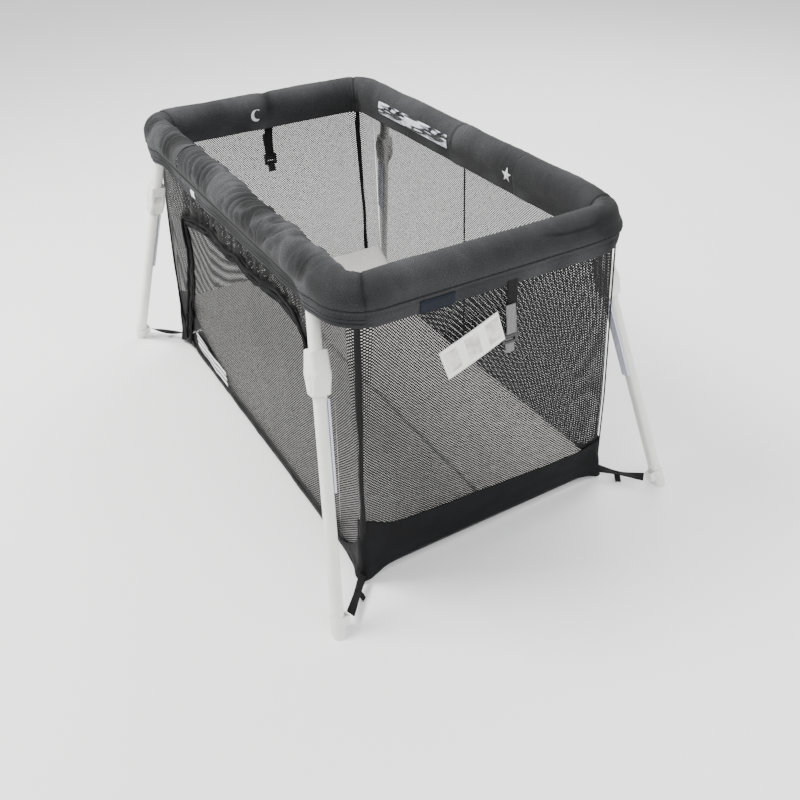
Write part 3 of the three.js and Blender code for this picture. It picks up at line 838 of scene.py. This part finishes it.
def door_strip(name, keep, offset, width, material, body, shift, seed, folds):
    """A tape along the door's outline, kept between two places along the length."""
    line, run = smooth_line([(x, 0, h) for x, h in DOOR], 420)
    inside = (line[:, 0] >= keep[0]) & (line[:, 0] <= keep[1])
    line, run = line[inside], run[inside]
    fall = (WALL_TOP_Z - line[:, 2]) / (WALL_TOP_Z - TUB_Z)
    wave = noise(run / 0.045, run * 0, seed)
    bulge = folds * (0.6 + 0.4 * noise(run / 0.02, run * 0 + 3, seed + 1))
    line[:, 1] = -(TOP_Y + (TUB_Y - TOP_Y) * fall + offset + bulge)
    along = np.gradient(line, axis=0)
    across = np.stack([-along[:, 2], 0 * run, along[:, 0]], 1)
    across /= np.linalg.norm(across, axis=1)[:, None]
    line += across * (shift + 0.003 * wave)[:, None]
    widths = width * (1 + 0.25 * noise(run / 0.03, run * 0 + 7, seed + 2))
    strip = ribbon(name, line, across, widths, material, 0.0012, crown=-0.006, rows=13)
    if body:
        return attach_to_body(strip, body)
    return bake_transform(strip)


def gathered_net():
    """The opened door's net, bunched in a second layer between the arch and the rim."""
    line, _ = smooth_line([(x, 0, h) for x, h in DOOR], 420)
    span = line[(line[:, 0] > -0.345) & (line[:, 0] < 0.35) & (line[:, 2] > 0.44)]
    span = span[np.argsort(span[:, 0])]
    xs = np.linspace(-0.345, 0.35, 110)
    low = np.interp(xs, span[:, 0], span[:, 2])
    rows = np.linspace(0, 1, 22)
    zz = low[:, None] + (WALL_TOP_Z + 0.008 - low[:, None]) * rows
    gx, gr = np.meshgrid(xs, rows, indexing="ij")
    fall = (WALL_TOP_Z - zz) / (WALL_TOP_Z - TUB_Z)
    folds = 0.0035 * np.sin(gx / 0.0075 + 3 * noise(gx / 0.05, gr * 1.4, 120)) * (1 - 0.5 * gr)
    sag = 0.004 * noise(gx / 0.09, gr, 121) * np.sin(np.pi * gr)
    yy = -(TOP_Y + (TUB_Y - TOP_Y) * fall + 0.006 + folds + sag)
    points = np.stack([gx, yy, zz], -1)
    obj = grid_object("door_net_gathered", points)
    finish_piece(obj, NET)
    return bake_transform(obj)


def add_door():
    gathered_net()
    for name, offset, width, material, shift, seed, folds in (
            ("door_fold", 0.004, 0.030, BAND, 0.0, 80, 0.004),
            ("door_fold_inner", 0.0045, 0.013, BINDING, -0.016, 84, 0.005),
            ("door_zip", 0.0105, 0.0055, STRAP, 0.004, 88, 0.003)):
        door_strip(name, (-PIVOT_X, PIVOT_X), offset, width, material, None, shift, seed, folds)
        door_strip(name + "_left", (-TUB_X, -PIVOT_X), offset, width, material, "left_end",
                   shift, seed, folds)


add_door()


# ---- corner straps that hold the tub's floor out to the feet ----
def add_foot_straps():
    for end, side_x in ENDS:
        for side, side_y in SIDES:
            turn = (side_x, side_y, 1)
            path, _ = smooth_line([(0.5375, 0.3015, 0.024), (0.5475, 0.3115, 0.0215),
                                   (0.575, 0.337, 0.0185), (0.600, 0.3595, 0.0195),
                                   (0.6155, 0.3735, 0.021)], 60)
            t = np.linspace(0, 1, len(path))
            twist = 0.35 * np.sin(np.pi * t)
            way = np.stack([-0.68 + 0 * t, 0.68 + 0 * t, 0.75 - 0.55 * np.sin(np.pi * t) - twist], 1)
            width = 0.018 - 0.003 * np.sin(np.pi * t)
            obj = ribbon(f"{side}_{end}_strap", path * turn, way * turn, width, STRAP, 0.0015)
            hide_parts(f"{side}_{end}_foot_strap")
            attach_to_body(obj, f"{end}_end")
            tail, _ = smooth_line([(0.568, 0.3325, 0.021), (0.5735, 0.3325, 0.0165),
                                   (0.580, 0.330, 0.0105), (0.586, 0.328, 0.0045)], 24)
            across = np.array((0.62, 0.78, 0.1)) * turn
            tab = ribbon(f"{side}_{end}_strap_tail", tail * turn, across, 0.013, STRAP, 0.0014)
            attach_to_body(tab, f"{end}_end")


add_foot_straps()


# ---- floor and mattress ----
def add_floor():
    low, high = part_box("tub_floor")
    x = np.linspace(low.x, high.x, 90)
    y = np.linspace(low.y, high.y, 50)
    gx, gy = np.meshgrid(x, y, indexing="ij")
    edge = np.minimum(1, np.minimum(high.x - np.abs(gx), high.y - np.abs(gy)) / 0.02)
    gz = 0.0165 + 0.0012 * noise(gx / 0.1, gy / 0.1, 90) - 0.0012 * (1 - edge)
    obj = grid_object("floor_cloth", np.stack([gx, gy, gz], -1))
    thicken(obj, 0.0025, 0.0)
    finish_piece(obj, BAND)
    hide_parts("tub_floor")
    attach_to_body(obj, "right_end")
    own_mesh(obj)


def add_mattress():
    low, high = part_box("mattress")
    length, width, thick = high.x - low.x, high.y - low.y, 0.038
    panel = length / 4
    rise = math.radians(33)
    s = np.linspace(0, length, 300)
    tilt = rise * np.clip((s - 3 * panel + 0.02) / 0.05, 0, 1)
    step = s[1] - s[0]
    cx = high.x - np.concatenate([[0], np.cumsum(np.cos(tilt[1:]) * step)])
    cz = low.z + thick / 2 + np.concatenate([[0], np.cumsum(np.sin(tilt[1:]) * step)])
    crease = sum(bump_at(s, k * panel, 0.006) for k in (1, 2, 3))
    end_round = np.sqrt(np.clip(1 - np.clip((0.016 - np.minimum(s, length - s)) / 0.016, 0, 1) ** 2, 0, 1))
    half = thick / 2 * (1 - 0.10 * crease) * (0.12 + 0.88 * end_round)
    wide = width / 2 * (1 - 0.006 * crease) - 0.012 * (1 - end_round)
    corner = 0.015
    ys = np.concatenate([np.linspace(-1, 1, 60), [1.0] * 6, np.linspace(1, -1, 60), [-1.0] * 6])
    angle = np.concatenate([np.full(60, 1.0), np.linspace(0.75, -0.75, 6), np.full(60, -1.0),
                            np.linspace(-0.75, 0.75, 6)])
    gs, gy = np.meshgrid(s, ys, indexing="ij")
    ga = np.broadcast_to(angle, gs.shape)
    edge = np.clip((1 - np.abs(gy)) * width / 2 / corner, 0, 1)
    round_off = np.where(np.abs(ga) == 1.0, np.sqrt(1 - (1 - edge) ** 2) * 0.30 + 0.70, 0.70)
    side = np.where(np.abs(ga) < 1, np.sqrt(1 - ga**2) * 0.006, 0)
    up = half[:, None] * ga * round_off
    top = np.clip(ga, 0, 1)
    puff = 0.0022 * noise(gs / 0.11, gy * 3, 95) + 0.0010 * noise(gs / 0.03, gy * 9, 96)
    panel_puff = 0.0016 * np.abs(np.sin(np.pi * gs / panel)) ** 0.7
    up += top * (puff + panel_puff) * np.minimum(1, 4 * (1 - np.abs(gy)))
    y = gy * wide[:, None] + np.sign(gy) * (side - 0.006)
    px = cx[:, None] + np.sin(tilt)[:, None] * up
    pz = cz[:, None] + np.cos(tilt)[:, None] * up
    obj = grid_object("mattress_pad", np.stack([px, y, pz], -1), close_v=True, caps=True,
                      uv=np.stack([gs, y + 0 * gs], -1))
    finish_piece(obj, MATTRESS)
    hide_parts("mattress")
    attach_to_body(obj, "mattress")
    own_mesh(obj)


add_floor()
add_mattress()


# ---- small parts sewn to the rim ----
def rim_spot(s, v, lift):
    """Points on the rim's cover at distance s round the ring and share v across the cover, raised by lift."""
    flat_s = np.unique(np.round(s.ravel(), 6))
    grid, _, _ = rim_points(flat_s)
    rows = v * (grid.shape[1] - 1)
    i = np.searchsorted(flat_s, np.round(s, 6))
    j = np.clip(np.floor(rows).astype(int), 0, grid.shape[1] - 2)
    f = (rows - j)[..., None]
    here = grid[i, j] * (1 - f) + grid[i, j + 1] * f
    along = grid[i, j + 1] - grid[i, j]
    _, out = ring_frame(np.round(s, 6).ravel())
    tangent = np.stack([-out[:, 1], out[:, 0], np.zeros(len(out))], 1).reshape(*s.shape, 3)
    normal = np.cross(tangent, along)
    normal /= np.linalg.norm(normal, axis=-1)[..., None]
    return here + lift * normal


def level_of(up, inner):
    """Share v across the cover where its profile is at height up, on the inner or the outer side."""
    rows = np.arange(len(PROFILE))
    half = rows > len(rows) * 0.55 if inner else rows < len(rows) * 0.45
    return rows[half][np.argmin(np.abs(PROFILE[half, 1] - up))] / (len(rows) - 1)


def patch(name, s_from, s_to, up_from, up_to, inner, material, how, lift, thickness=0.0007, n=60):
    """A sewn patch between two places along the rim and two heights on its inner or outer side."""
    v0, v1 = level_of(up_from, inner), level_of(up_to, inner)
    s, v = np.meshgrid(np.linspace(s_from, s_to, n), np.linspace(v0, v1, 14), indexing="ij")
    points = rim_spot(s, v, lift)
    obj = grid_object(name, points)
    thicken(obj, thickness, 0.0)
    finish_piece(obj, material)
    return attach(obj, how)


def shape_on_rim(name, s0, up0, outline, inner_line, how):
    """A small embroidered figure: rows between its inner line and its outline, on the rim's inner side."""
    v0 = level_of(up0, True)
    rows = np.linspace(0, 1, 5)
    outline, inner_line = np.array(outline), np.array(inner_line)
    grid = inner_line[:, None] + (outline - inner_line)[:, None] * rows[None, :, None]
    s = s0 - grid[..., 0]
    v = v0 - grid[..., 1] / RUN[-1]
    points = rim_spot(s, v, 0.0010)
    obj = grid_object(name, points, close_u=True)
    thicken(obj, 0.0010, 0.0)
    finish_piece(obj, THREAD)
    return attach(obj, how)


def add_rim_details():
    cuts = [(BACK_MID + 0.030, BACK_MID + MID_CUT, "rim_label_middle", over_middle("back", 1)),
            (BACK_MID + MID_CUT, BACK_MID + 0.350, "rim_label", "back_left")]
    for start, end, name, how in cuts:
        patch(name, start, end, -0.0205, 0.011, True, GLOSSY_WAVES, how, 0.0014)
    star = []
    for k in range(10):
        angle = math.pi / 2 + k * math.pi / 5
        radius = 0.0165 if k % 2 == 0 else 0.0062
        star.append((radius * math.cos(angle), radius * math.sin(angle)))
    shape_on_rim("rim_star", BACK_MID - 0.201, -0.008, star, [(0.0, 0.0)] * 10,
                 over_corner("right", 1, "back", 1))
    outer = [(0.0145 * math.cos(a), 0.0145 * math.sin(a)) for a in np.linspace(0.9, 5.0, 24)]
    inner = [(0.0053 + 0.0119 * math.cos(a), 0.0026 + 0.0119 * math.sin(a))
             for a in np.linspace(1.25, 4.9, 24)]
    left = BACK_START + 2 * LONG + ARC + SHORT
    shape_on_rim("rim_crescent", left + 0.034, -0.008, outer + outer[::-1], inner + outer[::-1], "left_end")
    right = LONG + ARC + SHORT
    patch("rim_tab", right - 0.170, right - 0.100, -0.0525, -0.0265, False, BAND_TAB, "right_end",
          0.0016, 0.0010)
    patch("hem_tag", LENGTH - 0.150, LENGTH - 0.128, -0.0420, -0.0280, False, CARD,
          over_middle("front", -1), 0.0030, 0.0008, 12)


def film_waves():
    m = Nodes("label_waves", (0.8, 0.82, 0.88), 0.16)
    uv = m.coords("UV", (0.55, 3.4, 1), 0.25)
    streaks = m.noise(uv, 17, 2, 0.5)
    m.to("Base Color", m.ramp(streaks, [(0.42, (0.80, 0.83, 0.92)), (0.46, (0.25, 0.26, 0.30)),
                                        (0.49, (0.008, 0.008, 0.010)), (0.56, (0.010, 0.010, 0.012)),
                                        (0.60, (0.78, 0.80, 0.90))]))
    m.to("Normal", m.bump(m.noise(uv, 30, 4), 0.6, 0.004))
    m.set("Coat Weight", 0.6)
    return m.material


def striped_film():
    m = Nodes("striped_film", (0.8, 0.8, 0.8), 0.4)
    uv = m.coords("UV")
    separate = m.add("ShaderNodeSeparateXYZ")
    m.link(uv, separate.inputs[0])
    turns = m.math("MULTIPLY", separate.outputs[0], 2 * math.pi / 0.0165)
    stripes = m.math("GREATER_THAN", m.math("SINE", turns), 0.2)
    m.to("Base Color", m.ramp(stripes, [(0.3, (0.78, 0.78, 0.80)), (0.7, (0.012, 0.012, 0.015))]))
    m.to("Normal", m.bump(m.noise(uv, 50, 3), 0.3, 0.002))
    return m.material


def card_print():
    """Blank card with pale grey panels where pictures would be."""
    m = Nodes("card_panels", (0.8, 0.8, 0.78), 0.45)
    uv = m.coords("UV")
    panels = m.add("ShaderNodeTexBrick", offset=0.0)
    for key, value in (("Scale", 1.0), ("Brick Width", 0.047), ("Row Height", 0.066),
                       ("Mortar Size", 0.009), ("Mortar Smooth", 0.1)):
        panels.inputs[key].default_value = value
    m.link(uv, panels.inputs["Vector"])
    blotch = m.ramp(m.noise(uv, 26, 2), [(0.42, (0.50, 0.48, 0.45)), (0.55, (0.72, 0.71, 0.68))])
    mix = m.add("ShaderNodeMix", data_type="RGBA")
    m.link(panels.outputs["Fac"], mix.inputs["Factor"])
    m.link(blotch, mix.inputs[6])
    mix.inputs[7].default_value = (0.86, 0.86, 0.84, 1)
    m.to("Base Color", mix.outputs[2])
    m.to("Normal", m.bump(m.noise(uv, 300, 2), 0.1, 0.0004))
    m.set("Coat Weight", 0.3)
    return m.material


GLOSSY_WAVES = film_waves()
STRIPED = striped_film()
CARD_PRINT = card_print()
BAND_TAB = coated_cloth("woven_tab", (0.006, 0.008, 0.014), 0.55)
add_rim_details()


# ---- hang tag, pack straps and the striped label ----
def add_tags():
    corners = np.array([(-0.142, 0.495), (-0.017, 0.538), (0.004, 0.4745), (-0.119, 0.431)])
    u, v = np.meshgrid(np.linspace(0, 1, 24), np.linspace(0, 1, 12), indexing="ij")
    u3, v3 = u[..., None], v[..., None]
    flat = (corners[0] * (1 - u3) * (1 - v3) + corners[1] * u3 * (1 - v3) + corners[2] * u3 * v3
            + corners[3] * (1 - u3) * v3)
    bow = 0.5512 + 0.004 * (1 - u) * (1 - 0.3 * v) + 0.0015 * np.sin(np.pi * u)
    points = np.stack([bow, flat[..., 0], flat[..., 1]], -1)
    uv = np.stack([(1 - u) * 0.132 + 0.005, v * 0.067 - 0.0005], -1)
    card = grid_object("tag_card", points, uv=uv)
    thicken(card, 0.0010, 0.0)
    finish_piece(card, CARD_PRINT)
    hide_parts("hang_tag")
    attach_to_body(card, "right_end")
    for end, side_x in ENDS:
        low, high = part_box(f"{end}_end_buckle")
        middle = (low.y + high.y) / 2
        out = abs(low.x + high.x) / 2

        def webbing(name, points, count, width, material):
            line, _ = smooth_line(points, count)
            tape = ribbon(f"{end}_end_{name}", line * (side_x, 1, 1), (0, 1, 0), width, material,
                          0.0013)
            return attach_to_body(tape, f"{end}_end")

        strap = webbing("pack_webbing", [
            (out - 0.0055, middle + 0.004, 0.588), (out - 0.003, middle + 0.003, 0.560),
            (out + 0.001, middle + 0.001, 0.520), (out + 0.0005, middle, high.z - 0.008)], 50, 0.0225, STRAP)
        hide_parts(f"{end}_end_pack_strap")
        webbing("webbing_loop", [
            (out + 0.0035, middle - 0.004, 0.540), (out + 0.0055, middle - 0.002, 0.515),
            (out + 0.0060, middle, high.z - 0.002), (out + 0.0015, middle, high.z - 0.008)],
            40, 0.021, GREY_STRAP)
        webbing("webbing_tail", [
            (out, middle, low.z + 0.008), (out + 0.002, middle + 0.002, low.z - 0.008),
            (out + 0.001, middle + 0.004, low.z - 0.022)], 20, 0.020, GREY_STRAP)
    x = np.linspace(-0.402, -0.192, 44)
    height = np.linspace(0, 1, 8)
    gx, gh = np.meshgrid(x, height, indexing="ij")
    gz = 0.036 + 0.014 * (0.192 + gx) / -0.21 + 0.046 * gh
    gy = -(TUB_Y + 0.0015 + 0.0012 * noise(gx / 0.03, gh, 101))
    label = grid_object("wall_label", np.stack([gx, gy, gz], -1), uv=np.stack([gz, gx], -1))
    thicken(label, 0.0007, 0.0)
    finish_piece(label, STRIPED)
    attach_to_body(label, "front_left")


add_tags()


# ---- small fittings on the legs ----
def leg_frame(side_x, side_y):
    """Knee centre and the leg's own directions: towards the tub, and down the leg."""
    splay, lean = math.radians(20), math.radians(9.5)
    slope = Vector((0, math.sin(lean), -math.cos(lean)))
    down = Vector((math.sin(splay), 0, 0)) + slope * math.cos(splay)
    wide = Vector((math.cos(splay), 0, 0)) - slope * math.sin(splay)
    knee = Vector((0.400, 0.303, RAIL_Z)) + down * 0.172
    flip = Vector((side_x, side_y, 1))
    return tuple(Vector(a * b for a, b in zip(v, flip)) for v in (knee, down.cross(wide), down))


def dome(name, centre, way, radius, height, material, body):
    """A low domed rivet head."""
    way = way.normalized()
    one = way.orthogonal().normalized()
    two = way.cross(one)
    rings = []
    for k in range(6):
        a = k / 5 * math.pi / 2
        r, h = radius * math.cos(a), height * math.sin(a)
        rings.append([tuple(centre + way * h + (one * math.cos(b) + two * math.sin(b)) * r)
                      for b in np.linspace(0, 2 * math.pi, 20, endpoint=False)])
    obj = grid_object(name, np.array(rings), close_v=True)
    finish_piece(obj, material)
    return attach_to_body(obj, body)


def add_leg_fittings():
    for side, side_y in SIDES:
        for end, side_x in ENDS:
            knee, inward, down = leg_frame(side_x, side_y)
            name = f"{side}_{end}"
            dome(f"{name}_foot_rivet", knee + down * 0.452 + inward * 0.0104, inward, 0.0042, 0.0016,
                 FOOT, f"{name}_leg")
            dome(f"{name}_knee_cap", knee - inward * 0.0173, -inward, 0.0090, 0.0022,
                 HUB, name)


add_leg_fittings()


# ---- floor, backdrop and light ----
def add_studio():
    bpy.ops.mesh.primitive_plane_add(size=40, location=(0, 0, 0))
    floor = bpy.context.object
    floor.name = "studio_floor"
    floor_look = Nodes("studio_floor", (0.97, 0.97, 0.97), 0.8)
    floor.data.materials.append(floor_look.material)
    world = bpy.data.worlds.new("studio")
    bpy.context.scene.world = world
    world.use_nodes = True
    background = world.node_tree.nodes["Background"]
    background.inputs["Color"].default_value = (1, 1, 1, 1)
    background.inputs["Strength"].default_value = 1.0
    for name, place, size, power, tint in (
            ("key", (-0.9, -1.6, 3.0), 1.3, 190, (1.0, 0.99, 0.97)),
            ("fill", (2.8, 0.6, 2.2), 2.5, 60, (0.97, 0.98, 1.0)),
            ("back", (-1.5, 2.4, 3.0), 2.5, 120, (1, 1, 1))):
        data = bpy.data.lights.new(name, "AREA")
        data.energy = power
        data.size = size
        data.color = tint
        lamp = bpy.data.objects.new(name, data)
        bpy.context.collection.objects.link(lamp)
        aim = Vector((0, 0, 0.3)) - Vector(place)
        lamp.matrix_world = Matrix.Translation(place) @ aim.to_track_quat("-Z", "Y").to_matrix().to_4x4()


add_studio()
